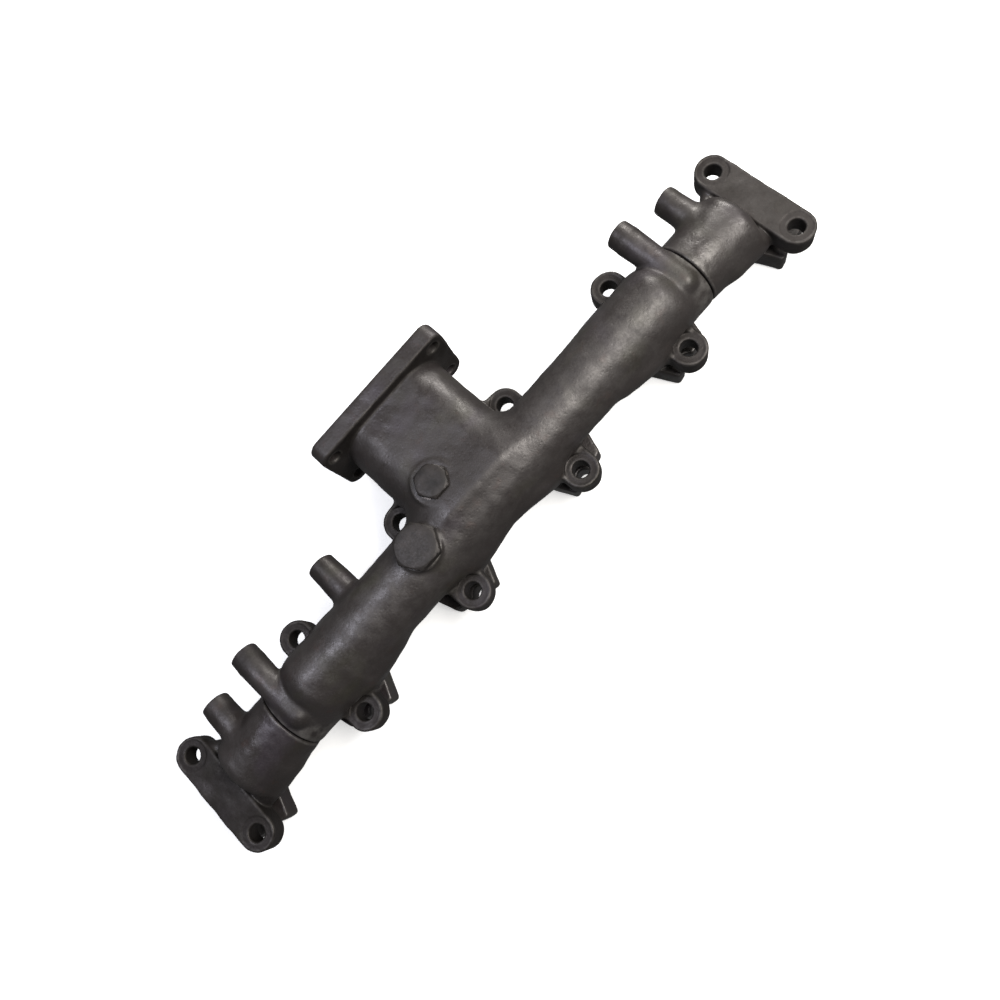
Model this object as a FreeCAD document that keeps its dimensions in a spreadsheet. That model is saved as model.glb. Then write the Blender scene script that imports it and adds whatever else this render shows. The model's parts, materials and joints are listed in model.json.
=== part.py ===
"""Six-port exhaust manifold for an in-line six-cylinder engine.

A cast centre section collects ports 2 to 5 and carries the outlet neck. A cast end section
at each end collects ports 1 and 6. Each end section slides in the centre section's socket,
in a steel sleeve, sealed by split rings, so that the hot manifold can grow lengthwise.

X runs along the manifold from the front end to the rear end, Y points towards the outlet
flange and Z points out of the cylinder head. The origin is on the head face, at the middle
of the port pattern. All sizes are in millimetres.
"""
import FreeCAD, Part
import os
import sys

import Sketcher
from FreeCAD import Placement, Rotation, Vector

DIMENSIONS = [
    ("port_pitch", 130, "distance between neighbouring ports along the head"),
    ("port_bore_radius", 20, "radius of each exhaust port"),
    ("wall", 6, "nominal wall of the castings"),
    ("bolt_offset", 42.5, "bolt centre from the port row"),
    ("bolt_hole_radius", 7, "clearance hole for the head bolts"),
    ("spot_face_radius", 13, "machined seat under each bolt head"),
    ("spot_face_depth", 0.5, "depth of the seat below the cast face"),
    ("bar_half_width", 15.5, "half width and end radius of a bolt bar"),
    ("bar_top", 49, "height of the bolt bars' top face"),
    ("bar_thickness", 18, "thickness of a bolt bar"),
    ("flange_thickness", 20, "thickness of the port flanges"),
    ("flange_half_width", 36, "port flange corner along the row"),
    ("end_flange_half_width", 31, "the same corner on the narrower flanges of ports 1 and 6"),
    ("flange_half_height", 46, "port flange corner across the row"),
    ("flange_tip_shift", 15, "sideways shift of the upper and lower corners"),
    ("flange_shoulder_x", 25, "shoulder corner along the row"),
    ("flange_shoulder_y", 37, "shoulder corner across the row"),
    ("runner_radius", 26, "outside radius of a runner at its flange"),
    ("runner_top_radius", 29, "outside radius of a runner under the collector"),
    ("runner_lean", 18, "shift of a runner's top towards the middle"),
    ("log_radius", 30, "outside radius of the collector tube"),
    ("log_height", 60, "height of the collector axis above the head"),
    ("log_half_length", 194, "half length of the straight collector"),
    ("joint_height", 48, "height of the slip joint axis"),
    ("joint_start", 188, "inner end of the socket tube"),
    ("joint_end", 240, "open end of the socket"),
    ("socket_floor", 206, "bottom of the socket bore"),
    ("sleeve_outer_radius", 26.5, "sleeve outside, pressed in the socket"),
    ("sleeve_inner_radius", 25, "sleeve bore that the rings run in"),
    ("sleeve_length", 33, "length of the sleeve"),
    ("spigot_radius", 24.95, "spigot outside"),
    ("spigot_bore_radius", 18, "gas way through the spigot"),
    ("spigot_tip", 209, "inner end of the spigot"),
    ("joint_gap", 1.2, "cold gap between socket and shoulder"),
    ("ring_outer_radius", 24.97, "outside of a seal ring in the sleeve"),
    ("ring_inner_radius", 22.8, "inside of a seal ring"),
    ("ring_width", 3, "axial width of a seal ring"),
    ("ring_pitch", 8, "distance between the ring grooves"),
    ("ring_first", 214, "middle of the innermost ring"),
    ("ring_split", 1.2, "gap of a split ring"),
    ("groove_floor_radius", 22.4, "floor of a ring groove"),
    ("groove_width", 3.2, "width of a ring groove"),
    ("tube_shoulder_x", 295, "where the end tube begins to close"),
    ("tube_tip_x", 303, "blunt face of the end tube"),
    ("tube_tip_radius", 22, "radius of the blunt face"),
    ("tube_tip_height", 42, "height of the end tube's axis at its blunt face"),
    ("elbow_start_x", 274, "start of the elbow duct inside the end tube"),
    ("elbow_start_height", 34, "height of the elbow duct inside the end tube"),
    ("elbow_end_height", 19.5, "height of the elbow duct over the port"),
    ("elbow_start_radius", 21, "elbow duct outside radius in the tube"),
    ("elbow_end_radius", 19, "elbow duct outside radius at the port"),
    ("riser_height", 36, "top of the end runner under its bar"),
    ("riser_top_radius", 18, "radius of the end runner under its bar"),
    ("riser_bore_top_radius", 12, "radius of the end port's bore at its top"),
    ("gusset_radius", 6, "rib between an end peg and the bolt bar"),
    ("gusset_start_x", 292, "rib's end beside the peg, along the manifold"),
    ("gusset_start_y", 22, "rib's end beside the peg, across"),
    ("gusset_end_x", 316, "rib's end under the bar, along the manifold"),
    ("gusset_end_y", 40, "rib's end under the bar, across"),
    ("gusset_height", 40, "height of the rib"),
    ("riser_bore_height", 28, "top of the end port's bore"),
    ("neck_half_span", 24, "half distance between the neck's round sides"),
    ("neck_radius", 30, "radius of the neck's round sides"),
    ("neck_height", 61.5, "height of the neck's axis"),
    ("outlet_back", 106, "back face of the outlet flange"),
    ("outlet_thickness", 16.5, "thickness of the outlet flange"),
    ("outlet_half_width", 71, "half width of the outlet flange"),
    ("outlet_bottom", 26, "bottom edge of the outlet flange"),
    ("outlet_top", 100, "top edge of the outlet flange"),
    ("outlet_corner", 11, "corner radius of the outlet flange"),
    ("outlet_hole_radius", 5.5, "bolt holes of the outlet flange"),
    ("outlet_hole_x", 59, "outlet bolt hole from the middle"),
    ("outlet_hole_low", 38.5, "height of the lower outlet holes"),
    ("outlet_hole_high", 88.5, "height of the upper outlet holes"),
    ("peg_tip_radius", 12, "tip radius of a support peg"),
    ("peg_root_radius", 14, "root radius of a support peg"),
    ("peg_tap_radius", 4.25, "tapping hole in a peg"),
    ("peg_tap_depth", 25, "depth of the tapping hole"),
    ("long_peg_x", 227, "long pegs, over the slip joints"),
    ("long_peg_height", 73, "height of the long pegs"),
    ("long_peg_tip", 59, "tip of the long pegs"),
    ("long_peg_tail", -12, "centre of the long pegs' round tail"),
    ("long_peg_tail_radius", 11, "radius of the long pegs' tail"),
    ("end_peg_x", 279, "short pegs on the end sections"),
    ("end_peg_height", 55, "height of the short end pegs"),
    ("end_peg_tip", 56, "tip of the short end pegs"),
    ("mid_peg_x", -135, "single peg on the front half"),
    ("mid_peg_height", 60, "height of the single peg"),
    ("mid_peg_tip", 66, "tip of the single peg"),
    ("neck_plug_x", -21, "plug on the neck, along the manifold"),
    ("neck_plug_y", 28, "plug on the neck, across the manifold"),
    ("neck_plug_seat", 91.5, "height of the neck plug's seat"),
    ("log_plug_x", -65, "plug on the collector, along the manifold"),
    ("log_plug_y", 1, "plug on the collector, across"),
    ("log_plug_seat", 91, "height of the collector plug's seat"),
    ("boss_radius", 18.5, "radius of the plug bosses"),
    ("boss_root", 78, "inner end of the plug bosses"),
    ("plug_hole_radius", 9, "threaded hole of the plug bosses"),
    ("plug_shank_radius", 8.9, "threaded shank of a plug"),
    ("plug_shank_length", 6, "threaded length below the seat"),
    ("washer_radius", 14, "outside radius of a sealing washer"),
    ("washer_bore_radius", 9.2, "bore of a sealing washer"),
    ("washer_thickness", 1.5, "thickness of a sealing washer"),
    ("neck_head_radius", 15, "neck plug hexagon, centre to corner"),
    ("neck_head_height", 4.5, "neck plug hexagon height"),
    ("log_head_radius", 20, "collector plug hexagon, centre to corner"),
    ("log_head_height", 7.5, "collector plug hexagon height"),
]

SIDES = {"front": -1, "rear": 1}
MID_PORTS = {"port_2": -1.5, "port_3": -0.5, "port_4": 0.5, "port_5": 1.5}
END_PORTS = {"front": -2.5, "rear": 2.5}
RING_NAMES = ["inner", "middle", "outer"]
ALONG_X = Rotation(Vector(0, 1, 0), 90)
ALONG_Y = Rotation(Vector(1, 0, 0), -90)
ALONG_Z = Rotation()

doc = FreeCAD.newDocument("exhaust_manifold")
sheet = doc.addObject("Spreadsheet::Sheet", "sizes")


def fill_sheet():
    """One row per driving dimension: its name, its value and what it is."""
    for row, (alias, value, meaning) in enumerate(DIMENSIONS, start=1):
        sheet.set(f"A{row}", alias)
        sheet.set(f"B{row}", str(value))
        sheet.setAlias(f"B{row}", alias)
        sheet.set(f"C{row}", meaning)
    doc.recompute()


def bound(text):
    """An expression in which every dimension's name reads the sheet."""
    words = "".join(c if c.isalnum() or c == "_" else f" {c} " for c in str(text)).split(" ")
    names = {alias for alias, _, _ in DIMENSIONS}
    return "".join(f"sizes.{word}" if word in names else word for word in words)


def place(shape, position, rotation=ALONG_Z):
    """Put a primitive at a place given as three expressions."""
    shape.Placement = Placement(Vector(), rotation)
    for coordinate, text in zip("xyz", position):
        shape.setExpression(f".Placement.Base.{coordinate}", bound(text))
    return shape


def cylinder(name, radius, length, position, rotation=ALONG_Z):
    shape = doc.addObject("Part::Cylinder", name)
    shape.setExpression("Radius", bound(radius))
    shape.setExpression("Height", bound(length))
    return place(shape, position, rotation)


def cone(name, start_radius, end_radius, length, position, rotation=ALONG_Z):
    shape = doc.addObject("Part::Cone", name)
    shape.setExpression("Radius1", bound(start_radius))
    shape.setExpression("Radius2", bound(end_radius))
    shape.setExpression("Height", bound(length))
    return place(shape, position, rotation)


def sphere(name, radius, position):
    shape = doc.addObject("Part::Sphere", name)
    shape.setExpression("Radius", bound(radius))
    return place(shape, position)


def box(name, length, width, height, position):
    """A box centred on its position along X and Y, standing on it along Z."""
    shape = doc.addObject("Part::Box", name)
    shape.setExpression("Length", bound(length))
    shape.setExpression("Width", bound(width))
    shape.setExpression("Height", bound(height))
    x, y, z = position
    return place(shape, (f"{x} - ({length}) / 2", f"{y} - ({width}) / 2", z))


def hexagon(name, corner_radius, height, position):
    shape = doc.addObject("Part::Prism", name)
    shape.Polygon = 6
    shape.setExpression("Circumradius", bound(corner_radius))
    shape.setExpression("Height", bound(height))
    return place(shape, position)


def duct(name, sections):
    """A solid lofted through circles, each given as radius, position and rotation."""
    circles = []
    for number, (radius, position, rotation) in enumerate(sections, start=1):
        circle = doc.addObject("Part::Circle", f"{name}_section_{number}")
        circle.setExpression("Radius", bound(radius))
        circles.append(place(circle, position, rotation))
    loft = doc.addObject("Part::Loft", name)
    loft.Sections = circles
    loft.Solid = True
    loft.Ruled = True
    return loft


def fuse(name, shapes):
    union = doc.addObject("Part::MultiFuse", name)
    union.Shapes = shapes
    return union


def fuse_in_turn(name, shapes):
    """Join solids one after another, which copes with surfaces that nearly touch."""
    joined = shapes[0]
    for number, shape in enumerate(shapes[1:], start=1):
        last = number == len(shapes) - 1
        union = doc.addObject("Part::Fuse", name if last else f"{name}_{number}")
        union.Base = joined
        union.Tool = shape
        joined = union
    return joined


def cut(name, base, tool):
    difference = doc.addObject("Part::Cut", name)
    difference.Base = base
    difference.Tool = tool
    return difference


def common(name, base, tool):
    overlap = doc.addObject("Part::Common", name)
    overlap.Base = base
    overlap.Tool = tool
    return overlap


def racetrack(name, radius, start, end):
    """The neck's section, two round sides and a flat middle, swept along Y."""
    length = f"({end}) - ({start})"
    rounds = [
        cylinder(f"{name}_{side}", radius, length,
                 (f"{sign} * neck_half_span", start, "neck_height"), ALONG_Y)
        for side, sign in SIDES.items()
    ]
    middle = box(f"{name}_middle", "2 * neck_half_span", length, f"2 * ({radius})",
                 ("0", f"(({start}) + ({end})) / 2", f"neck_height - ({radius})"))
    return fuse(name, rounds + [middle])


def port_flange(name, x, side, half_width):
    """A six-cornered port flange, the same shape turned half round its own centre."""
    body = doc.addObject("PartDesign::Body", name)
    body.setExpression(".Placement.Base.x", bound(x))
    base_plane = next(f for f in body.Origin.OriginFeatures if f.Role == "XY_Plane")
    sketch = body.newObject("Sketcher::SketchObject", f"{name}_outline")
    sketch.AttachmentSupport = (base_plane, [""])
    sketch.MapMode = "FlatFace"
    half = [
        (f"{-side} * flange_tip_shift", "-flange_half_height"),
        (f"{-side} * {half_width}", "0"),
        (f"{-side} * flange_shoulder_x", "flange_shoulder_y"),
    ]
    corners = half + [(f"-1 * {x_text}", f"-1 * ({y_text})") for x_text, y_text in half]
    # The sketch starts as a regular hexagon with its corners in the same order, and the
    # constraints then move them to their places.
    first = -60 if side < 0 else -120
    start = [Rotation(Vector(0, 0, 1), first - 60 * k * side).multVec(Vector(50, 0, 0)) for k in range(6)]
    for number in range(6):
        sketch.addGeometry(Part.LineSegment(start[number], start[(number + 1) % 6]), False)
    for number in range(6):
        sketch.addConstraint(Sketcher.Constraint("Coincident", number, 2, (number + 1) % 6, 1))
    for number, (x_text, y_text) in enumerate(corners):
        for kind, text in (("DistanceX", x_text), ("DistanceY", y_text)):
            value = start[number].x if kind == "DistanceX" else start[number].y
            row = sketch.addConstraint(Sketcher.Constraint(kind, -1, 1, number, 1, value))
            sketch.setExpression(f"Constraints[{row}]", bound(text))
    pad = body.newObject("PartDesign::Pad", f"{name}_pad")
    pad.Profile = sketch
    pad.setExpression("Length", bound("flange_thickness"))
    return body


def bolt_bar(name, x):
    """A bar across the port row with a round end over each of the port's two bolts."""
    bottom = "bar_top - bar_thickness"
    ends = [
        cylinder(f"{name}_end_{end}", "bar_half_width", "bar_thickness",
                 (x, f"{sign} * bolt_offset", bottom))
        for end, sign in (("lower", -1), ("upper", 1))
    ]
    middle = box(f"{name}_middle", "2 * bar_half_width", "2 * bolt_offset", "bar_thickness",
                 (x, "0", bottom))
    return ends + [middle]


def bolt_holes(name, x):
    """Through holes for a port's two bolts, with the machined seats on the bar."""
    holes = []
    for end, sign in (("lower", -1), ("upper", 1)):
        y = f"{sign} * bolt_offset"
        holes.append(cylinder(f"{name}_hole_{end}", "bolt_hole_radius", "bar_top + 2", (x, y, "-1")))
        holes.append(cylinder(f"{name}_seat_{end}", "spot_face_radius", "1 + spot_face_depth",
                              (x, y, "bar_top - spot_face_depth")))
    return holes


def peg_hole(name, x, tip, height):
    return cylinder(name, "peg_tap_radius", "peg_tap_depth + 1",
                    (x, f"{tip} - peg_tap_depth", height), ALONG_Y)


def peg(name, x, root, tip, height):
    return cone(name, "peg_root_radius", "peg_tip_radius", f"({tip}) - ({root})",
                (x, root, height), ALONG_Y)


def centre_section():
    """Ports 2 to 5, the collector, both sockets, the neck and the outlet flange."""
    metal = [cylinder("collector", "log_radius", "2 * log_half_length",
                      ("-log_half_length", "0", "log_height"), ALONG_X)]
    space = [cylinder("collector_bore", "log_radius - wall", "2 * log_half_length",
                      ("-log_half_length", "0", "log_height"), ALONG_X)]
    for port, steps in MID_PORTS.items():
        x = f"{steps} * port_pitch"
        side = 1 if steps > 0 else -1
        lean = f"{x} - {side} * runner_lean"
        metal.append(port_flange(f"{port}_flange", x, side, "flange_half_width"))
        metal.append(duct(f"{port}_runner", [
            ("runner_radius", (x, "0", "0"), ALONG_Z),
            ("runner_top_radius", (lean, "0", "log_height - wall"), ALONG_Z)]))
        metal += bolt_bar(f"{port}_bar", x)
        space.append(duct(f"{port}_way", [
            ("port_bore_radius", (x, "0", "-1"), ALONG_Z),
            ("port_bore_radius", (lean, "0", "log_height - wall"), ALONG_Z)]))
        space += bolt_holes(port, x)
    for end, side in SIDES.items():
        metal.append(sphere(f"{end}_shoulder", "log_radius",
                            (f"{side} * log_half_length", "0", "log_height")))
        socket_x = "joint_start" if side > 0 else "-joint_end"
        metal.append(cylinder(f"{end}_socket", "log_radius", "joint_end - joint_start",
                              (socket_x, "0", "joint_height"), ALONG_X))
        way_x = "joint_start + wall / 2" if side > 0 else "-socket_floor - 1"
        space.append(cylinder(f"{end}_socket_way", "port_bore_radius",
                              "socket_floor + 1 - joint_start - wall / 2",
                              (way_x, "0", "joint_height"), ALONG_X))
        bore_x = "socket_floor" if side > 0 else "-joint_end - 1"
        space.append(cylinder(f"{end}_socket_bore", "sleeve_outer_radius",
                              "joint_end + 1 - socket_floor", (bore_x, "0", "joint_height"), ALONG_X))
        peg_x = f"{side} * long_peg_x"
        metal.append(peg(f"{end}_long_peg", peg_x, "long_peg_tip / 2", "long_peg_tip", "long_peg_height"))
        metal.append(cone(f"{end}_long_peg_back", "long_peg_tail_radius", "peg_root_radius",
                          "long_peg_tip / 2 - long_peg_tail",
                          (peg_x, "long_peg_tail", "long_peg_height"), ALONG_Y))
        metal.append(sphere(f"{end}_long_peg_tail", "long_peg_tail_radius",
                            (peg_x, "long_peg_tail", "long_peg_height")))
        space.append(peg_hole(f"{end}_long_peg_hole", peg_x, "long_peg_tip", "long_peg_height"))
    metal.append(peg("mid_peg", "mid_peg_x", "log_radius / 2", "mid_peg_tip", "mid_peg_height"))
    space.append(peg_hole("mid_peg_hole", "mid_peg_x", "mid_peg_tip", "mid_peg_height"))
    metal.append(racetrack("neck", "neck_radius", "0", "outlet_back + 1"))
    metal += outlet_flange()
    space.append(racetrack("neck_way", "neck_radius - wall", "0", "outlet_back + outlet_thickness + 1"))
    for end, side in SIDES.items():
        for level in ("low", "high"):
            space.append(cylinder(f"outlet_hole_{level}_{end}", "outlet_hole_radius",
                                  "outlet_thickness + 2",
                                  (f"{side} * outlet_hole_x", "outlet_back - 1",
                                   f"outlet_hole_{level}"), ALONG_Y))
    for where in ("neck_plug", "log_plug"):
        x, y, seat = f"{where}_x", f"{where}_y", f"{where}_seat"
        metal.append(cylinder(f"{where}_boss", "boss_radius", f"{seat} - boss_root", (x, y, "boss_root")))
        space.append(cylinder(f"{where}_hole", "plug_hole_radius", f"{seat} - boss_root + 8",
                              (x, y, "boss_root - 4")))
    return cut("centre_section", fuse_in_turn("centre_metal", metal), fuse("centre_space", space))


def outlet_flange():
    """A plate with rounded corners: two crossed slabs and four corner posts along Y."""
    wide = box("outlet_wide", "2 * outlet_half_width", "outlet_thickness",
               "outlet_top - outlet_bottom - 2 * outlet_corner",
               ("0", "outlet_back + outlet_thickness / 2", "outlet_bottom + outlet_corner"))
    tall = box("outlet_tall", "2 * (outlet_half_width - outlet_corner)", "outlet_thickness",
               "outlet_top - outlet_bottom",
               ("0", "outlet_back + outlet_thickness / 2", "outlet_bottom"))
    posts = [
        cylinder(f"outlet_corner_{end}_{level}", "outlet_corner", "outlet_thickness",
                 (f"{side} * (outlet_half_width - outlet_corner)", "outlet_back", z), ALONG_Y)
        for end, side in SIDES.items()
        for level, z in (("low", "outlet_bottom + outlet_corner"), ("high", "outlet_top - outlet_corner"))
    ]
    return [wide, tall] + posts


def end_section(end, side):
    """Port 1 or 6: the spigot, the blunt tube, the elbow under the bolt bar and the port."""
    port_x = f"{END_PORTS[end]} * port_pitch"
    shoulder = f"{side} * (joint_end + joint_gap)"
    closing_x = f"{side} * tube_shoulder_x"
    tip_x = f"{side} * tube_tip_x"
    elbow_x = f"{side} * elbow_start_x"
    spigot_x = "spigot_tip" if side > 0 else "-(joint_end + joint_gap + 1)"
    spigot = cylinder(f"{end}_spigot", "spigot_radius", "joint_end + joint_gap + 1 - spigot_tip",
                      (spigot_x, "0", "joint_height"), ALONG_X)
    tube = duct(f"{end}_tube", [
        ("log_radius", (shoulder, "0", "joint_height"), ALONG_X),
        ("log_radius", (closing_x, "0", "tube_tip_height + 1"), ALONG_X)])
    closing = duct(f"{end}_tube_closing", [
        ("log_radius", (closing_x, "0", "tube_tip_height + 1"), ALONG_X),
        ("tube_tip_radius", (tip_x, "0", "tube_tip_height"), ALONG_X)])
    elbow = duct(f"{end}_elbow", [
        ("elbow_start_radius", (elbow_x, "0", "elbow_start_height"), ALONG_X),
        ("elbow_end_radius", (f"{port_x} - {side} * 5", "0", "elbow_end_height"), ALONG_X)])
    riser = cone(f"{end}_riser", "runner_radius", "riser_top_radius", "riser_height", (port_x, "0", "0"))
    gusset = duct(f"{end}_gusset", [
        ("gusset_radius", (f"{side} * gusset_start_x", "gusset_start_y", "gusset_height"), ALONG_X),
        ("gusset_radius", (f"{side} * gusset_end_x", "gusset_end_y", "gusset_height"), ALONG_X)])
    peg_x = f"{side} * end_peg_x"
    flange = port_flange(f"{end}_flange", port_x, side, "end_flange_half_width")
    metal = [spigot, tube, closing, elbow, riser, gusset, flange,
             peg(f"{end}_peg", peg_x, "log_radius / 3", "end_peg_tip", "end_peg_height")]
    metal += bolt_bar(f"{end}_bar", port_x)
    bore_x = "spigot_tip - 1" if side > 0 else "-(joint_end + 4 * wall)"
    spigot_way = cylinder(f"{end}_spigot_way", "spigot_bore_radius",
                          "joint_end + 4 * wall + 1 - spigot_tip",
                          (bore_x, "0", "joint_height"), ALONG_X)
    tube_way = duct(f"{end}_tube_way", [
        ("log_radius - wall", (f"{side} * (joint_end + 3 * wall)", "0", "joint_height - 2"), ALONG_X),
        ("log_radius - wall", (f"{closing_x} - {side} * wall / 3", "0", "tube_tip_height + 1"), ALONG_X)])
    elbow_way = duct(f"{end}_elbow_way", [
        ("elbow_start_radius - wall", (elbow_x, "0", "elbow_start_height"), ALONG_X),
        ("elbow_end_radius - wall", (f"{port_x} - {side} * 5", "0", "elbow_end_height"), ALONG_X)])
    port_way = cone(f"{end}_port_way", "port_bore_radius", "riser_bore_top_radius",
                    "riser_bore_height + 1", (port_x, "0", "-1"))
    space = [spigot_way, tube_way, elbow_way, port_way,
             peg_hole(f"{end}_peg_hole", peg_x, "end_peg_tip", "end_peg_height")]
    space += bolt_holes(end, port_x)
    for number, place_name in enumerate(RING_NAMES):
        middle = f"{side} * (ring_first + {number} * ring_pitch)"
        groove = f"{end}_groove_{place_name}"
        land = cylinder(f"{groove}_land", "log_radius", "groove_width",
                        (f"{middle} - groove_width / 2", "0", "joint_height"), ALONG_X)
        core = cylinder(f"{groove}_core", "groove_floor_radius", "groove_width",
                        (f"{middle} - groove_width / 2", "0", "joint_height"), ALONG_X)
        space.append(cut(groove, land, core))
    return cut(f"{end}_end_section", fuse(f"{end}_metal", metal), fuse(f"{end}_space", space))


def joint_sleeve(end, side):
    """The steel liner pressed in a socket, in which the seal rings run."""
    start = "socket_floor + 0.5" if side > 0 else "-(socket_floor + 0.5) - sleeve_length"
    outside = cylinder(f"{end}_sleeve_outside", "sleeve_outer_radius", "sleeve_length",
                       (start, "0", "joint_height"), ALONG_X)
    inside = cylinder(f"{end}_sleeve_inside", "sleeve_inner_radius", "sleeve_length + 2",
                      (f"{start} - 1", "0", "joint_height"), ALONG_X)
    return cut(f"{end}_joint_sleeve", outside, inside)


def seal_ring(end, side, number, place_name):
    """A split ring in its groove. The splits of a joint's rings are staggered."""
    name = f"{end}_seal_ring_{place_name}"
    start = f"{side} * (ring_first + {number} * ring_pitch) - ring_width / 2"
    outside = cylinder(f"{name}_outside", "ring_outer_radius", "ring_width",
                       (start, "0", "joint_height"), ALONG_X)
    inside = cylinder(f"{name}_inside", "ring_inner_radius", "ring_width + 2",
                      (f"{start} - 1", "0", "joint_height"), ALONG_X)
    split = box(f"{name}_split", "ring_width + 2", "ring_split", "ring_outer_radius + 1",
                (f"{start} + ring_width / 2", "0", "joint_height"))
    if number == 1:
        place(split, (f"{start} - 1", "-ring_split / 2", "joint_height - ring_outer_radius - 1"))
    return cut(name, outside, fuse(f"{name}_removed", [inside, split]))


def plug(name, where, head):
    """A hexagon-headed screw plug with a chamfered head."""
    x, y, seat = f"{where}_x", f"{where}_y", f"{where}_seat"
    top = f"{seat} + washer_thickness"
    shank = cylinder(f"{name}_shank", "plug_shank_radius", "plug_shank_length + washer_thickness",
                     (x, y, f"{seat} - plug_shank_length"))
    hexagon_part = hexagon(f"{name}_hexagon", f"{head}_radius", f"{head}_height", (x, y, top))
    chamfer = cone(f"{name}_chamfer", f"{head}_radius + {head}_height", f"{head}_radius * 0.8",
                   f"{head}_height", (x, y, top))
    return fuse(name, [shank, common(f"{name}_head", hexagon_part, chamfer)])


def washer(name, where):
    x, y, seat = f"{where}_x", f"{where}_y", f"{where}_seat"
    outside = cylinder(f"{name}_outside", "washer_radius", "washer_thickness", (x, y, seat))
    inside = cylinder(f"{name}_inside", "washer_bore_radius", "washer_thickness + 2",
                      (x, y, f"{seat} - 1"))
    return cut(name, outside, inside)


def build():
    """Every separate piece of the manifold."""
    pieces = [centre_section()]
    for end, side in SIDES.items():
        pieces.append(end_section(end, side))
        pieces.append(joint_sleeve(end, side))
        for number, place_name in enumerate(RING_NAMES):
            pieces.append(seal_ring(end, side, number, place_name))
    pieces.append(plug("neck_port_plug", "neck_plug", "neck_head"))
    pieces.append(washer("neck_port_washer", "neck_plug"))
    pieces.append(plug("collector_port_plug", "log_plug", "log_head"))
    pieces.append(washer("collector_port_washer", "log_plug"))
    for piece in pieces:
        piece.Label = piece.Name
    return pieces


def check(pieces):
    """Stop if any object failed or any piece isn't one valid closed solid."""
    for item in doc.Objects:
        if "Invalid" in item.State or "Error" in item.State:
            sys.exit(f"{item.Name} failed: {item.State}")
    for piece in pieces:
        shape = piece.Shape
        if shape.isNull() or not shape.isValid() or len(shape.Solids) != 1:
            sys.exit(f"{piece.Label} is not one valid solid: {len(shape.Solids)} solids")
        print(f"{piece.Label}: {shape.Volume / 1000:.1f} cm3, {shape.BoundBox}")


fill_sheet()
parts = build()
doc.recompute()
check(parts)
os.makedirs("parts", exist_ok=True)
for part in parts:
    part.Shape.exportStep(f"parts/{part.Label}.step")
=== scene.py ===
"""Exhaust manifold: cast-iron sections with soft cast edges, plugs, washers, sleeves and rings.

The castings are built as distance fields in millimetres, meshed, and scaled to metres, in
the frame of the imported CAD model. X runs along the manifold, Y points to the outlet flange
and Z out of the cylinder head. The two ends mirror each other, so their sizes are given as
distances from the middle.
"""

import json
import math

import bmesh
import bpy
import numpy as np
import openvdb
from mathutils import Matrix, Vector


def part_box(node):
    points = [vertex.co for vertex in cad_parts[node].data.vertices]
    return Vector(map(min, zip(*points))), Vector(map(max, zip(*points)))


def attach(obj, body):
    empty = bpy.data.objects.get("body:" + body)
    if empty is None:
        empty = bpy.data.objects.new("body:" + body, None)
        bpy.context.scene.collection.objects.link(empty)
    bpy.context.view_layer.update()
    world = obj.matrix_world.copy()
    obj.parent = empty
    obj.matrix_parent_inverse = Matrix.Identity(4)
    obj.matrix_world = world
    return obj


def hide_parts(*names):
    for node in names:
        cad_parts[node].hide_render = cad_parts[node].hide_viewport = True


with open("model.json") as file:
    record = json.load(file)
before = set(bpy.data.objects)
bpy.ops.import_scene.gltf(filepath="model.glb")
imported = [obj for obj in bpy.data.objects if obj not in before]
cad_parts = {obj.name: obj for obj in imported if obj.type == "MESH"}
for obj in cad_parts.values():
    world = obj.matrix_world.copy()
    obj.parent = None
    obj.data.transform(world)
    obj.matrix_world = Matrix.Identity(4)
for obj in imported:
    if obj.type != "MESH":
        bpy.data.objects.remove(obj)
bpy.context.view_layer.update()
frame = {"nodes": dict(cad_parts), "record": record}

MM = 0.001

# ---------------------------------------------------------------- sizes, in millimetres
mounts = {mount["name"]: mount for mount in frame["record"]["mounts"]}
PITCH = mounts["inner_head_bolts"]["dims"]["spacing_x_mm"]
BOLT_Y = mounts["inner_head_bolts"]["dims"]["spacing_y_mm"] / 2
BOLT_R = mounts["inner_head_bolts"]["dims"]["hole_r_mm"]
OUTLET_HOLE_X = mounts["outlet_bolts"]["dims"]["spacing_x_mm"] / 2
OUTLET_HOLE_Z = mounts["outlet_bolts"]["dims"]["spacing_y_mm"] / 2
OUTLET_HOLE_R = mounts["outlet_bolts"]["dims"]["hole_r_mm"]
OUTLET_FACE = mounts["outlet_face"]["pos_m"][1] / MM
OUTLET_MIDDLE = mounts["outlet_bolts"]["pos_m"][2] / MM
PEG_HOLE_R = mounts["middle_peg_hole"]["dims"]["r_mm"]
PEG_HOLE_DEPTH = mounts["middle_peg_hole"]["dims"]["length_mm"]

SIDES = {"front": -1, "rear": 1}
CENTRE_PORTS = [pitches * PITCH for pitches in (-1.5, -0.5, 0.5, 1.5)]
END_PORT = 2.5 * PITCH
WALL = 6

# ports: runners, bolt bars and flanges
PORT_R = 20
PORT_BOTTOM = -4
END_PORT_TOP = 28
END_PORT_TOP_R = 12
RUNNER_R = 28
RUNNER_TOP_R = 31
RUNNER_LEAN = 27
END_RUNNER_TOP = 36
END_RUNNER_TOP_R = 18
BAR_TOP = 49
BAR_THICK = 18
BAR_R = 15.5
NOTCH_R = 6.6
SEAT_R = 13
SEAT_DEPTH = 0.5
FLANGE_THICK = 20
NOTCH_TOP = FLANGE_THICK + 3
# half of a flange's corners, from the port: distance towards the middle, and Y
FLANGE_HALF = [(15, -46), (36, 0), (25, 37)]
END_FLANGE_HALF = [(15, -46), (31, 0), (25, 37)]
# a runner's flank: two points, from the port towards the middle, and the radius at each
FLANK = ((12, -21, 40), (56, -17, 51), 10.5, 12)
END_FLANK = ((14, -21, 34), (55, -20, 44), 11.5, 11.5)

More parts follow.
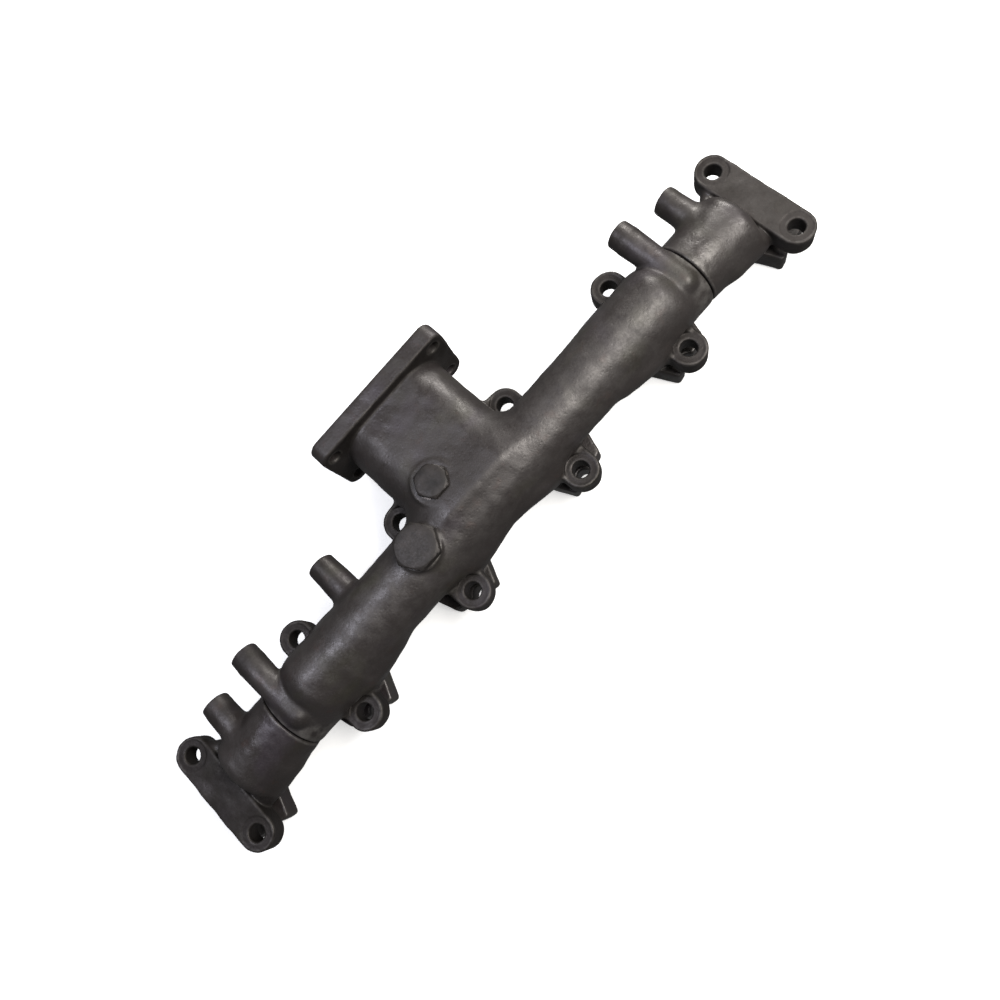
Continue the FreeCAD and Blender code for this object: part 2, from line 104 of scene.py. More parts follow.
# the collector, and the shoulders where it drops to the joints
LOG_R = 30
LOG_Z = 60
LOG_HALF = 203
LOG_END_EDGE = 15
LOG_BORE_EDGE = 6
SHOULDER_START = LOG_HALF - 30
SHOULDER_START_R = LOG_R - 3
SHOULDER_END_R = LOG_R - 2

# the slip joints
JOINT_Z = 48
JOINT_END = 240
JOINT_GAP = 1.2
JOINT_EDGE = 0.5
SHOULDER_END = JOINT_END - 6
SOCKET_OUTSIDE_START = LOG_HALF - 10
SOCKET_FLOOR = 206
SOCKET_R = 26.6
SPIGOT_R = 24.7
SPIGOT_TIP = 209
SPIGOT_EDGE = 1.0
SPIGOT_BORE_R = 18
SPIGOT_BORE_END = 256
GROOVE_FLOOR_R = 22.4
GROOVE_WIDTH = 3.6
RING_FIRST = 214
RING_PITCH = 8
RING_COUNT = 3
UNDERCUT_WIDTH = 2.4
UNDERCUT_DEPTH = 1.0
# the cuts that trim the two faces at the gap flat
TRIM_R = 2 * LOG_R
TRIM_WIDTH = 20

# the end sections' tubes and elbows; ducts have two points in X and Z, and the radius at each
TUBE_TIP_X = 303
TUBE_TIP_Z = 42
TUBE_TIP_R = LOG_R + 2.5
TUBE_END_EDGE = 10
TUBE_BORE = ((258, JOINT_Z - 1), (280, TUBE_TIP_Z), 22, 21)
ELBOW = ((266, 36), (END_PORT - 5, 21), 25, 21)
ELBOW_BORE = ((276, 34), (END_PORT - 5, 21), 15, 13)

# the neck and the outlet flange
NECK_SPAN = 24
NECK_R = 30
NECK_Z = 61.5
OUTLET_BACK = 106
OUTLET_HALF = 71
OUTLET_LOW = 26
OUTLET_HIGH = 100
OUTLET_CORNER = 11

# support pegs: X, the tip's Y, and Z
PEG_TIP_R = 12
PEG_ROOT_R = 14
PEG_EDGE = 1.2
LONG_PEG = (227, 59, 73)
LONG_PEG_R = PEG_TIP_R + 0.5
LONG_PEG_TAIL = -10
LONG_PEG_TAIL_R = 10.5
END_PEG = (279, 56, 55)
MID_PEG = (-135, 66, 60)
PEG_RIB = ((292, 22, 40), (316, 40, 40))
PEG_RIB_R = 6

# plugs: X, Y and the seat's Z; and how thick each hexagon is
PLUGS = {"neck": (-21, 28, 91.5), "collector": (-65, 1, 91)}
PLUG_HEADS = {"neck": 4.5, "collector": 7.5}
BOSS_R = 18.5
BOSS_DEPTH = 14
BOSS_EDGE = 1.0
PLUG_HOLE_R = 9
PLUG_HOLE_DEPTH = 18

# grids and edges: cast edges are soft, and drilled or turned ones are sharp
CENTRE_VOXEL = 1.0
END_VOXEL = 0.9
EDGE = 1.6
SHARP = 0.1
FLANGE_CORNER_BLEND = 3.0

# the skin: its waves' heights and wavelengths, how deep edges and corners are felt for, how far a
# flat machined face's mark reaches, and where the pegs' painted shade starts
SKIN_WAVES = ((0.22, 34), (0.10, 11))
WAVE_COUNT = 28
EDGE_REACH = 3.0
FACE_REACH = 0.35
PEG_SHADE_X = 100
PEG_SHADE_Y = 34
PEG_SHADE_Z = 37


# ---------------------------------------------------------------- distance functions
def corner(a, b, edge):
    """Where two faces at right angles meet, with their edge rounded."""
    a, b = a + edge, b + edge
    return np.minimum(np.maximum(a, b), 0) + np.hypot(np.maximum(a, 0), np.maximum(b, 0)) - edge


def smooth_min(a, b, blend):
    return np.minimum(a, b) - np.square(np.maximum(blend - np.abs(a - b), 0)) / (4 * blend)


def smooth_max(a, b, blend):
    return np.maximum(a, b) + np.square(np.maximum(blend - np.abs(a - b), 0)) / (4 * blend)


def split(axis, point):
    """A point's coordinate along an axis first, and then the other two."""
    order = {"x": (0, 1, 2), "y": (1, 0, 2), "z": (2, 0, 1)}[axis]
    return [point[i] for i in order]


def rod(axis, start, end, centre, radius, edge, tip=None):
    """A round bar along an axis from start to end. tip is its radius at the end."""
    tip = radius if tip is None else tip
    middle, half = (start + end) / 2, abs(end - start) / 2
    slope = (tip - radius) / (end - start)
    level = math.cos(math.atan(slope))

    def distance(x, y, z):
        along, u, v = split(axis, (x, y, z))
        side = (np.hypot(u - centre[0], v - centre[1]) - radius - slope * (along - start)) * level
        return corner(side, np.abs(along - middle) - half, edge)

    reach = max(radius, tip)
    low = [min(start, end), centre[0] - reach, centre[1] - reach]
    high = [max(start, end), centre[0] + reach, centre[1] + reach]
    order = {"x": (0, 1, 2), "y": (1, 0, 2), "z": (1, 2, 0)}[axis]
    return [low[i] for i in order], [high[i] for i in order], distance


def stadium(axis, span, radius, centre, start, end):
    """Two round ends a distance apart, joined straight, swept along an axis."""
    middle, half = (start + end) / 2, (end - start) / 2

    def distance(x, y, z):
        if axis == "y":
            along, wide, thin = y, x - centre[0], z - centre[1]
        else:
            along, wide, thin = z, y - centre[1], x - centre[0]
        side = np.hypot(np.maximum(np.abs(wide) - span, 0), thin) - radius
        return corner(side, np.abs(along - middle) - half, EDGE)

    reach = span + radius
    if axis == "y":
        return ([centre[0] - reach, start, centre[1] - radius],
                [centre[0] + reach, end, centre[1] + radius], distance)
    return ([centre[0] - radius, centre[1] - reach, start],
            [centre[0] + radius, centre[1] + reach, end], distance)


def plate(half, low, high, start, end, corner_r):
    """A plate across Y, from -half to half along X and low to high, with round corners."""
    rise = (high + low) / 2

    def distance(x, y, z):
        wide = np.abs(x) - half + corner_r
        tall = np.abs(z - rise) - (high - low) / 2 + corner_r
        side = np.hypot(np.maximum(wide, 0), np.maximum(tall, 0)) + np.minimum(np.maximum(wide, tall), 0)
        return corner(side - corner_r, np.abs(y - (start + end) / 2) - (end - start) / 2, EDGE)

    return [-half, start, low], [half, end, high], distance


def outline(points, start, end):
    """A convex outline in X and Y, swept along Z, with soft corners."""
    centre = np.mean(points, axis=0)

    def distance(x, y, z):
        side = None
        for (x0, y0), (x1, y1) in zip(points, points[1:] + points[:1]):
            normal = np.array([y1 - y0, x0 - x1], float)
            normal /= np.linalg.norm(normal)
            if normal @ (np.array([x0, y0]) - centre) < 0:
                normal = -normal
            face = (x - x0) * normal[0] + (y - y0) * normal[1]
            side = face if side is None else smooth_max(side, face, FLANGE_CORNER_BLEND)
        return corner(side, np.abs(z - (start + end) / 2) - (end - start) / 2, EDGE)

    xs, ys = zip(*points)
    return [min(xs), min(ys), start], [max(xs), max(ys), end], distance


def leaning(x, lean, radius, top, bottom=0.0, top_radius=None):
    """An upright round duct whose top is shifted along X and may be wider or narrower."""
    top_radius = radius if top_radius is None else top_radius
    level = math.cos(math.atan((abs(lean) + abs(top_radius - radius)) / (top - bottom)))

    def distance(px, py, pz):
        part = (pz - bottom) / (top - bottom)
        side = (np.hypot(px - x - lean * part, py) - radius - (top_radius - radius) * part) * level
        return corner(side, np.abs(pz - (top + bottom) / 2) - (top - bottom) / 2, EDGE)

    reach = max(radius, top_radius)
    spread = abs(lean) + reach
    return [x - spread, -reach, bottom], [x + spread, reach, top], distance


def slope_duct(start, end, start_r, end_r):
    """A straight duct between two points, round at both ends, of changing radius."""
    start, end = np.array(start, float), np.array(end, float)
    run = end - start

    def distance(x, y, z):
        px, py, pz = x - start[0], y - start[1], z - start[2]
        part = np.clip((px * run[0] + py * run[1] + pz * run[2]) / (run @ run), 0, 1)
        gap = np.sqrt(np.square(px - part * run[0]) + np.square(py - part * run[1])
                      + np.square(pz - part * run[2]))
        return gap - start_r - (end_r - start_r) * part

    reach = max(start_r, end_r)
    return np.minimum(start, end) - reach, np.maximum(start, end) + reach, distance


def ring_groove(x, width, floor, outer, z):
    """A ring around X, as wide as the groove that it cuts, from the floor's radius outwards."""

    def distance(px, py, pz):
        radial = np.hypot(py, pz - z)
        side = np.maximum(radial - outer, floor - radial)
        return np.maximum(side, np.abs(px - x) - width / 2)

    return [x - width / 2, -outer, z - outer], [x + width / 2, outer, z + outer], distance


def under_head_face(x_low, x_high):
    """Everything below Z = 0, where the flanges and runners end in one ground plane."""
    depth = 8
    return [x_low, -OUTLET_FACE, -depth], [x_high, OUTLET_FACE, 0], lambda x, y, z: z


def dropping_tube(start, end, start_z, end_z, start_r, end_r, side, end_edge):
    """A tube along X whose middle drops and whose radius grows on the way to its end."""

    def distance(x, y, z):
        along = np.clip((side * x - start) / (end - start), 0, 1)
        centre = start_z + (end_z - start_z) * along
        radial = np.hypot(y, z - centre) - start_r - (end_r - start_r) * along
        return smooth_max(smooth_max(radial, side * x - end, end_edge), start - side * x, 1)

    reach = max(start_r, end_r)
    low = [min(side * start, side * end), -reach, min(start_z, end_z) - reach]
    high = [max(side * start, side * end), reach, max(start_z, end_z) + reach]
    return low, high, distance


class Casting:
    """A distance field on a grid, to which shapes are joined and from which they are cut.

    BORDER, around the casting's box, and BAND, kept on both sides of its surface, are in cells.
    """

    FAR = 40.0
    BORDER = 4
    BAND = 4

    def __init__(self, low, high, step):
        self.step = step
        self.low = np.array(low, float) - self.BORDER * step
        count = np.ceil((np.array(high, float) + self.BORDER * step - self.low) / step).astype(int)
        self.axes = [self.low[i] + step * np.arange(count[i]) for i in range(3)]
        self.field = np.full(count, self.FAR, np.float32)

    def near(self, low, high, blend):
        """The part of the grid that a shape in this box can change, and its coordinates."""
        margin = blend + 3 * self.step
        slices = []
        for axis, start, end in zip(self.axes, low, high):
            first = max(int(np.searchsorted(axis, start - margin)) - 1, 0)
            slices.append(slice(first, int(np.searchsorted(axis, end + margin)) + 1))
        x, y, z = (axis[s].astype(np.float32) for axis, s in zip(self.axes, slices))
        return tuple(slices), x[:, None, None], y[None, :, None], z[None, None, :]

    def join(self, shape, blend):
        low, high, distance = shape
        where, x, y, z = self.near(low, high, blend)
        self.field[where] = smooth_min(self.field[where], distance(x, y, z), blend)

    def cut(self, shape, blend):
        """Take a shape away. Such shapes run a few millimetres past the metal that they open."""
        low, high, distance = shape
        where, x, y, z = self.near(low, high, blend)
        self.field[where] = smooth_max(self.field[where], -distance(x, y, z), blend)

    def sample(self, points):
        """The field at points, by linear interpolation."""
        place = (points - self.low) / self.step
        place = np.clip(place, 0, np.array(self.field.shape) - 1.001)
        base = place.astype(int)
        part = (place - base).astype(np.float32)
        total = np.zeros(len(points), np.float32)
        for dx in (0, 1):
            for dy in (0, 1):
                for dz in (0, 1):
                    weight = np.ones(len(points), np.float32)
                    for i, d in enumerate((dx, dy, dz)):
                        weight *= part[:, i] if d else 1 - part[:, i]
                    total += weight * self.field[base[:, 0] + dx, base[:, 1] + dy, base[:, 2] + dz]
        return total

    def normals(self, points):
        """Unit vectors that point out of the metal."""
        result = np.zeros_like(points)
        for i in range(3):
            offset = np.zeros(3)
            offset[i] = self.step * 0.75
            result[:, i] = self.sample(points + offset) - self.sample(points - offset)
        return result / np.maximum(np.linalg.norm(result, axis=1, keepdims=True), 1e-6)

    def surface(self):
        """Points in millimetres and quads of the zero surface."""
        band = self.BAND * self.step
        grid = openvdb.FloatGrid(band)
        grid.copyFromArray(np.clip(self.field, -band, band))
        points, quads = grid.convertToQuads(isovalue=0.0)
        return points.astype(float) * self.step + self.low, quads.astype(np.int64)


# ---------------------------------------------------------------- shared features
def port_flange(x, side, corners):
    """A port's six-cornered flange, which looks the same after half a turn."""
    half = [(-side * i, v) for i, v in corners]
    points = half + [(-a, -b) for a, b in half]
    return outline([(x + a, b) for a, b in points], 0, FLANGE_THICK)


def bolt_bar(x):
    return stadium("z", BOLT_Y, BAR_R, (x, 0), BAR_TOP - BAR_THICK, BAR_TOP)


def flank(x, side, start, end, start_r, end_r):
    """A duct that fills out a runner's lower flank, on the side of the middle."""
    return slope_duct((x - side * start[0], *start[1:]), (x - side * end[0], *end[1:]), start_r, end_r)


def level_duct(side, start, end, start_r, end_r):
    """A duct in the plane Y = 0, on one side of the middle."""
    return slope_duct((side * start[0], 0, start[1]), (side * end[0], 0, end[1]), start_r, end_r)


def side_rod(side, start, end, centre, radius, edge):
    """A round bar along X between two distances from the middle, on one side of it."""
    return rod("x", *sorted((side * start, side * end)), centre, radius, edge)


def cut_bolts(casting, x):
    for y in (-BOLT_Y, BOLT_Y):
        casting.cut(rod("z", -2, NOTCH_TOP, (x, y), NOTCH_R, SHARP), blend=1.4)
        casting.cut(rod("z", NOTCH_TOP, BAR_TOP + 4, (x, y), BOLT_R, SHARP), blend=1.4)
        casting.cut(rod("z", BAR_TOP - SEAT_DEPTH, BAR_TOP + 6, (x, y), SEAT_R, SHARP), blend=0.4)


def add_peg(casting, x, root, tip, z):
    casting.join(rod("y", root, tip, (x, z), PEG_ROOT_R, PEG_EDGE, tip=PEG_TIP_R), blend=5)


def cut_peg(casting, x, tip, z):
    casting.cut(rod("y", tip - PEG_HOLE_DEPTH, tip + 4, (x, z), PEG_HOLE_R, SHARP), blend=1)


def add_long_peg(casting, side):
    """A support peg whose ridge runs back over the shoulder."""
    x, tip, z = side * LONG_PEG[0], LONG_PEG[1], LONG_PEG[2]
    casting.join(slope_duct((x, tip - PEG_TIP_R, z), (x, LONG_PEG_TAIL, z - 1), LONG_PEG_R,
                            LONG_PEG_TAIL_R), blend=4)
    casting.join(rod("y", tip - PEG_ROOT_R, tip, (x, z), LONG_PEG_R, PEG_EDGE, tip=PEG_TIP_R), blend=0.5)


def build_centre():
    box_low, box_high = (c / MM for c in map(np.array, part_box("centre_section")))
    casting = Casting(box_low, box_high, CENTRE_VOXEL)
    log_end = LOG_HALF + LOG_END_EDGE
    casting.join(rod("x", -log_end, log_end, (0, LOG_Z), LOG_R, LOG_END_EDGE), blend=4)
    for side in SIDES.values():
        casting.join(side_rod(side, SOCKET_OUTSIDE_START, JOINT_END, (0, JOINT_Z), LOG_R, JOINT_EDGE),
                     blend=14)
        casting.join(dropping_tube(SHOULDER_START, SHOULDER_END, LOG_Z, JOINT_Z, SHOULDER_START_R,
                                   SHOULDER_END_R, side, JOINT_EDGE), blend=5)
    for x in CENTRE_PORTS:
        side = math.copysign(1, x)
        casting.join(leaning(x, -side * RUNNER_LEAN, RUNNER_R, LOG_Z - WALL, top_radius=RUNNER_TOP_R),
                     blend=20)
        casting.join(flank(x, side, *FLANK), blend=12)
        casting.join(bolt_bar(x), blend=4)
        casting.join(port_flange(x, side, FLANGE_HALF), blend=4)
    casting.join(stadium("y", NECK_SPAN, NECK_R, (0, NECK_Z), 0, OUTLET_BACK + 4), blend=16)
    casting.join(plate(OUTLET_HALF, OUTLET_LOW, OUTLET_HIGH, OUTLET_BACK, OUTLET_FACE, OUTLET_CORNER),
                 blend=3)
    for side in SIDES.values():
        add_long_peg(casting, side)
    add_peg(casting, MID_PEG[0], LOG_R / 2, MID_PEG[1], MID_PEG[2])
    for x, y, seat in PLUGS.values():
        casting.join(rod("z", seat - BOSS_DEPTH, seat, (x, y), BOSS_R, BOSS_EDGE), blend=3)
    casting.cut(under_head_face(box_low[0], box_high[0]), blend=0.6)
    for side in SIDES.values():
        casting.cut(side_rod(side, JOINT_END, JOINT_END + TRIM_WIDTH, (0, JOINT_Z), TRIM_R, SHARP), blend=0.4)
    # the gas ways
    casting.cut(rod("x", -LOG_HALF, LOG_HALF, (0, LOG_Z), LOG_R - WALL, LOG_BORE_EDGE), blend=3)
    for x in CENTRE_PORTS:
        lean = -math.copysign(RUNNER_LEAN, x)
        casting.cut(leaning(x, lean, PORT_R, LOG_Z - WALL, bottom=PORT_BOTTOM), blend=2)
        cut_bolts(casting, x)
    casting.cut(stadium("y", NECK_SPAN, NECK_R - WALL, (0, NECK_Z), 0, OUTLET_FACE + 6), blend=2)
    for side in SIDES.values():
        casting.cut(side_rod(side, LOG_HALF - 3, SOCKET_FLOOR + 2, (0, JOINT_Z), PORT_R, SHARP), blend=1)
        casting.cut(side_rod(side, SOCKET_FLOOR, JOINT_END + 6, (0, JOINT_Z), SOCKET_R, SHARP), blend=1)
        cut_peg(casting, side * LONG_PEG[0], LONG_PEG[1], LONG_PEG[2])
        for rise in (-OUTLET_HOLE_Z, OUTLET_HOLE_Z):
            at = (side * OUTLET_HOLE_X, OUTLET_MIDDLE + rise)
            casting.cut(rod("y", OUTLET_BACK - 4, OUTLET_FACE + 4, at, OUTLET_HOLE_R, SHARP), blend=1)
    cut_peg(casting, *MID_PEG)
    for x, y, seat in PLUGS.values():
        casting.cut(rod("z", seat - PLUG_HOLE_DEPTH, seat + 6, (x, y), PLUG_HOLE_R, SHARP), blend=1)
    return casting


def build_end(end):
    side = SIDES[end]
    box_low, box_high = (c / MM for c in map(np.array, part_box(f"{end}_end_section")))
    casting = Casting(box_low, box_high, END_VOXEL)
    port_x = side * END_PORT
    peg_x = side * END_PEG[0]
    face = JOINT_END + JOINT_GAP
    casting.join(dropping_tube(face, TUBE_TIP_X, JOINT_Z, TUBE_TIP_Z, LOG_R, TUBE_TIP_R, side,
                               TUBE_END_EDGE), blend=1)
    casting.join(level_duct(side, *ELBOW), blend=10)
    casting.join(leaning(port_x, 0, RUNNER_R, END_RUNNER_TOP, top_radius=END_RUNNER_TOP_R), blend=6)
    casting.join(flank(port_x, side, *END_FLANK), blend=8)
    casting.join(bolt_bar(port_x), blend=3)
    rib_start, rib_end = ((side * x, y, z) for x, y, z in PEG_RIB)
    casting.join(slope_duct(rib_start, rib_end, PEG_RIB_R, PEG_RIB_R), blend=5)
    casting.join(port_flange(port_x, side, END_FLANGE_HALF), blend=4)
    add_peg(casting, peg_x, LOG_R / 3, END_PEG[1], END_PEG[2])
    casting.join(side_rod(side, SPIGOT_TIP, face + 3, (0, JOINT_Z), SPIGOT_R, SPIGOT_EDGE), blend=0.5)
    casting.cut(under_head_face(box_low[0], box_high[0]), blend=0.6)
    # the gas way
    casting.cut(side_rod(side, SPIGOT_TIP - 6, SPIGOT_BORE_END, (0, JOINT_Z), SPIGOT_BORE_R, SHARP), blend=1)
    casting.cut(level_duct(side, *TUBE_BORE), blend=3)
    casting.cut(level_duct(side, *ELBOW_BORE), blend=3)
    casting.cut(leaning(port_x, 0, PORT_R, END_PORT_TOP, bottom=PORT_BOTTOM, top_radius=END_PORT_TOP_R),
                blend=2)
    for number in range(RING_COUNT):
        x = side * (RING_FIRST + number * RING_PITCH)
        casting.cut(ring_groove(x, GROOVE_WIDTH, GROOVE_FLOOR_R, LOG_R, JOINT_Z), blend=0.4)
    casting.cut(ring_groove(side * (face - TRIM_WIDTH / 2), TRIM_WIDTH, SPIGOT_R, TRIM_R, JOINT_Z), blend=0.4)
    casting.cut(ring_groove(side * (face - UNDERCUT_WIDTH / 2), UNDERCUT_WIDTH, SPIGOT_R - UNDERCUT_DEPTH,
                            LOG_R, JOINT_Z), blend=0.4)
    cut_bolts(casting, port_x)
    cut_peg(casting, peg_x, END_PEG[1], END_PEG[2])
    return casting


# ---------------------------------------------------------------- meshes
def waves(points, wavelength, seed):
    """Smooth noise, mostly between -1 and 1: a sum of waves in random directions."""
    random = np.random.default_rng(seed)
    total = np.zeros(len(points))
    for _ in range(WAVE_COUNT):
        direction = random.normal(size=3)
        direction /= np.linalg.norm(direction)
        length = wavelength * random.uniform(0.6, 1.6)
        total += np.sin(points @ direction * (2 * math.pi / length) + random.uniform(0, 2 * math.pi))
    return total / math.sqrt(WAVE_COUNT)


def soot_and_shade_amount(points, port_xs):
    """Soot on the bolt bars, and painted shade behind the outlet flange and on the pegs: 1 on the bars and
    behind the flange, half on the pegs, fading to 0 elsewhere.
    """
    x, y, z = points.T
    amount = np.zeros(len(points))
    for port_x in port_xs:
        bar = np.hypot(x - port_x, np.maximum(np.abs(y) - BOLT_Y, 0)) - BAR_R
        low = np.clip((z - (BAR_TOP - BAR_THICK - 3)) / 3, 0, 1)
        high = np.clip((BAR_TOP + 2 - z) / 1.5, 0, 1)
        amount = np.maximum(amount, np.clip(1.5 - bar, 0, 1) * low * high)
    # painted shade on the back of the outlet flange
    behind = np.clip(2.5 - np.abs(y - OUTLET_BACK), 0, 1)
    # painted shade on the pegs
    pegs = 0.5 * np.clip((y - PEG_SHADE_Y) / 6, 0, 1) * (np.abs(x) > PEG_SHADE_X) * (z > PEG_SHADE_Z)
    return np.maximum(amount, np.maximum(behind, pegs))


def machined_amount(points, port_xs):
    """1 on machined faces and bores, 0 on the cast skin. Each limit lies just outside its face."""
    x, y, z = points.T
    amount = np.zeros(len(points))
    amount[z < FACE_REACH] = 1
    amount[y > OUTLET_FACE - FACE_REACH] = 1
    joint = (np.abs(x) > SPIGOT_TIP - 4) & (np.abs(x) < JOINT_END + JOINT_GAP + 0.4)
    amount[joint & (np.hypot(y, z - JOINT_Z) < SOCKET_R + 0.6)] = 1
    for port_x in port_xs:
        for bolt_y in (-BOLT_Y, BOLT_Y):
            radius = np.hypot(x - port_x, y - bolt_y)
            amount[(radius < SEAT_R + 0.3) & (z > BAR_TOP - SEAT_DEPTH - 1.5) & (z < BAR_TOP + 2)] = 1
            amount[(radius < BOLT_R + 0.4) & (z > BAR_TOP - BAR_THICK - 1)] = 1
    return amount


def make_piece(name, casting, port_xs, seed):
    """A casting's mesh with an uneven skin, and the marks that its material reads."""
    points, quads = casting.surface()
    normals = casting.normals(points)
    machined = machined_amount(points, port_xs)
    soot_and_shade = soot_and_shade_amount(points, port_xs)
    edge = np.clip((casting.sample(points - normals * EDGE_REACH) + EDGE_REACH) / EDGE_REACH, 0, 1)
    # painted shade: how deep a point lies in a corner or crease, which darkens its colour
    crease_shade = np.clip((EDGE_REACH - casting.sample(points + normals * EDGE_REACH)) / EDGE_REACH, 0, 1)
    swell = np.zeros(len(points))
    for offset, (height, wavelength) in enumerate(SKIN_WAVES):
        swell += height * waves(points, wavelength, seed + offset)
    # no swell on machined faces, nor within 2 mm of the middle of a joint's gap
    from_joint = np.abs(np.abs(points[:, 0]) - JOINT_END - JOINT_GAP / 2)
    swell *= np.minimum(1 - machined, np.clip((from_joint - 2) / 4, 0, 1))
    points = points + normals * swell[:, None]
    mesh = bpy.data.meshes.new(name)
    mesh.vertices.add(len(points))
    mesh.vertices.foreach_set("co", (points * MM).astype(np.float32).ravel())
    mesh.loops.add(len(quads) * 4)
    mesh.loops.foreach_set("vertex_index", quads.astype(np.int32).ravel())
    mesh.polygons.add(len(quads))
    mesh.polygons.foreach_set("loop_start", np.arange(0, len(quads) * 4, 4, dtype=np.int32))
    mesh.polygons.foreach_set("use_smooth", np.ones(len(quads), bool))
    mesh.update(calc_edges=True)
    looks = {"machined": machined, "soot_and_shade": soot_and_shade, "edge": edge, "crease_shade": crease_shade}
    for key, values in looks.items():
        layer = mesh.attributes.new(key, "FLOAT", "POINT")
        layer.data.foreach_set("value", values.astype(np.float32))
    mesh.validate()
    piece = bpy.data.objects.new(name, mesh)
    bpy.context.scene.collection.objects.link(piece)
    return piece


def set_material(obj, material):
    obj.data.materials.clear()
    obj.data.materials.append(material)


# ---------------------------------------------------------------- materials
class Nodes:
    """Short calls for building one material's nodes."""

    def __init__(self, name):
        self.material = bpy.data.materials.new(name)
        self.material.use_nodes = True
        self.tree = self.material.node_tree
        self.shader = self.tree.nodes["Principled BSDF"]
        self.place = self.tree.nodes.new("ShaderNodeTexCoord").outputs["Object"]

    def link(self, source, target):
        self.tree.links.new(source, target)

    def feed(self, socket, value):
        if isinstance(value, bpy.types.NodeSocket):
            self.link(value, socket)
        else:
            socket.default_value = value

    def noise(self, scale, detail, roughness, stretch=None, distortion=0.0):
        node = self.tree.nodes.new("ShaderNodeTexNoise")
        node.inputs["Scale"].default_value = scale
        node.inputs["Detail"].default_value = detail
        node.inputs["Roughness"].default_value = roughness
        node.inputs["Distortion"].default_value = distortion
        place = self.place
        if stretch:
            mapping = self.tree.nodes.new("ShaderNodeMapping")
            mapping.inputs["Scale"].default_value = stretch
            self.link(place, mapping.inputs["Vector"])
            place = mapping.outputs["Vector"]
        self.link(place, node.inputs["Vector"])
        return node.outputs["Fac"]

    def spots(self, scale):
        node = self.tree.nodes.new("ShaderNodeTexVoronoi")
        node.inputs["Scale"].default_value = scale
        self.link(self.place, node.inputs["Vector"])
        return node.outputs["Distance"]

    def attribute(self, name):
        node = self.tree.nodes.new("ShaderNodeAttribute")
        node.attribute_name = name
        return node.outputs["Fac"]

    def range(self, value, low, high, to_low=0.0, to_high=1.0):
        node = self.tree.nodes.new("ShaderNodeMapRange")
        for key, number in (("From Min", low), ("From Max", high), ("To Min", to_low), ("To Max", to_high)):
            node.inputs[key].default_value = number
        self.link(value, node.inputs["Value"])
        return node.outputs["Result"]

    def math(self, operation, a, b):
        node = self.tree.nodes.new("ShaderNodeMath")
        node.operation = operation
        self.feed(node.inputs[0], a)
        self.feed(node.inputs[1], b)
        return node.outputs["Value"]

    def mix(self, factor, a, b):
        node = self.tree.nodes.new("ShaderNodeMix")
        node.data_type = "RGBA"
        self.feed(node.inputs["Factor"], factor)
        colours = [s for s in node.inputs if s.type == "RGBA"]
        for socket, value in zip(colours, (a, b)):
            if isinstance(value, tuple):
                value = (*value, 1.0)
            self.feed(socket, value)
        return next(s for s in node.outputs if s.type == "RGBA")

    def tint(self, colour, mask, strength, target):
        """The colour, turned towards a target where the mask is 1, by a strength from 0 to 1."""
        return self.mix(self.math("MULTIPLY", mask, strength), colour, target)

    def axis(self, name):
        node = self.tree.nodes.new("ShaderNodeSeparateXYZ")
        self.link(self.place, node.inputs["Vector"])
        return node.outputs[name]

    def bump(self, height, strength, distance, below=None):
        node = self.tree.nodes.new("ShaderNodeBump")
        node.inputs["Strength"].default_value = strength
        node.inputs["Distance"].default_value = distance
        self.link(height, node.inputs["Height"])
        if below:
            self.link(below, node.inputs["Normal"])
        return node.outputs["Normal"]

    def finish(self, colour, roughness, metallic, normal=None):
        self.feed(self.shader.inputs["Base Color"], colour)
        self.feed(self.shader.inputs["Roughness"], roughness)
        self.feed(self.shader.inputs["Metallic"], metallic)
        if normal:
            self.link(normal, self.shader.inputs["Normal"])
        return self.material


# the crease colour is painted shade in corners and creases; the soot colour is soot on the bolt bars and
# painted shade behind the outlet flange and on the pegs; the warm colour is painted light towards the +X end
IRON = {
    "dark": (0.022, 0.018, 0.017), "light": (0.041, 0.035, 0.034), "patch": (0.026, 0.020, 0.019),
    "violet": (0.043, 0.034, 0.045), "olive": (0.035, 0.033, 0.021), "rust": (0.046, 0.025, 0.020),
    "lit_end": (0.055, 0.048, 0.045), "speckle": (0.091, 0.086, 0.084), "soot_and_shade": (0.020, 0.017, 0.015),
    "crease_shade": (0.010, 0.008, 0.007), "worn": (0.144, 0.136, 0.128), "machined": (0.030, 0.026, 0.025),
}


